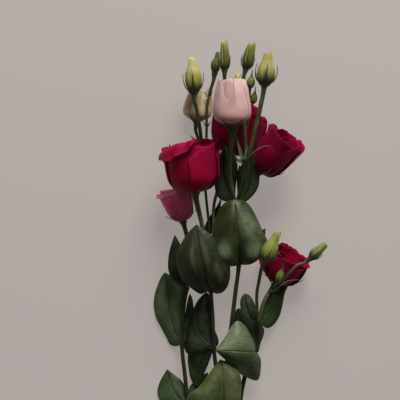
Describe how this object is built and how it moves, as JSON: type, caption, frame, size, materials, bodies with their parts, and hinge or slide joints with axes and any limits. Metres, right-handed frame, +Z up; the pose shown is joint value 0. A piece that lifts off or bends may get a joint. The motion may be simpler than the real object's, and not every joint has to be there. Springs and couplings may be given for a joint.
{
  "type": "lisianthus flower spray",
  "caption": "Cut branched lisianthus spray lying on its side, with open crimson flowers, half-open pink and cream flowers, closed buds and broad grey-green leaves.",
  "frame": {"origin": "middle of the underside of the spray as it lies, on the surface that it lies on", "axes": "+Y along the stems from the cut end towards the flowers, +X to the right seen from above with the flowers ahead, +Z up from the surface"},
  "size_m": [0.174, 0.4972, 0.0881],
  "materials": {
    "stem": "matt green stem",
    "stalk": "matt green stalk, calyx and sepals",
    "leaf": "dark grey-green leaf with a soft waxy sheen",
    "red_petal": "deep crimson, velvety",
    "red_heart": "deep crimson, velvety",
    "pink_petal": "rose pink, velvety",
    "pale_pink_petal": "pale pink, velvety",
    "cream_petal": "greenish cream, velvety",
    "bud_petal": "yellow-green, velvety"
  },
  "bodies": {
    "root": {"bud_10_petals": "bud_petal", "bud_10_stalk": "stalk", "bud_11": "stalk", "bud_1_petals": "bud_petal", "bud_1_stalk": "stalk", "bud_2_petals": "bud_petal", "bud_2_stalk": "stalk", "bud_3_petals": "bud_petal", "bud_3_stalk": "stalk", "bud_4_petals": "bud_petal", "bud_4_stalk": "stalk", "bud_5_petals": "bud_petal", "bud_5_stalk": "stalk", "bud_6": "stalk", "bud_7": "stalk", "bud_8": "stalk", "bud_9_petals": "bud_petal", "bud_9_stalk": "stalk", "centre_red_inner_petals": "red_heart", "centre_red_outer_petals": "red_petal", "centre_red_stalk": "stalk", "cream_petals": "cream_petal", "cream_stalk": "stalk", "leaf_left_inner": "leaf", "leaf_left_low_inner": "leaf", "leaf_left_low_outer": "leaf", "leaf_left_outer": "leaf", "leaf_left_top": "leaf", "leaf_main_back": "leaf", "leaf_main_front": "leaf", "leaf_main_low": "leaf", "leaf_main_top_left": "leaf", "leaf_main_top_right": "leaf", "leaf_middle_back": "leaf", "leaf_middle_front": "leaf", "leaf_middle_low_drooping": "leaf", "leaf_middle_low_left": "leaf", "leaf_right_back": "leaf", "leaf_right_front": "leaf", "leaf_right_top_inner": "leaf", "leaf_right_top_outer": "leaf", "left_branch": "stem", "left_red_inner_petals": "red_heart", "left_red_outer_petals": "red_petal", "left_red_stalk": "stalk", "lower_red_inner_petals": "red_heart", "lower_red_outer_petals": "red_petal", "lower_red_stalk": "stalk", "main_stem": "stem", "middle_branch": "stem", "middle_upper_branch": "stem", "pale_pink_petals": "pale_pink_petal", "pale_pink_stalk": "stalk", "pink_petals": "pink_petal", "pink_stalk": "stalk", "right_branch": "stem", "right_red_inner_petals": "red_heart", "right_red_outer_petals": "red_petal", "right_red_stalk": "stalk", "upper_branch": "stem"}
  },
  "joints": []
}
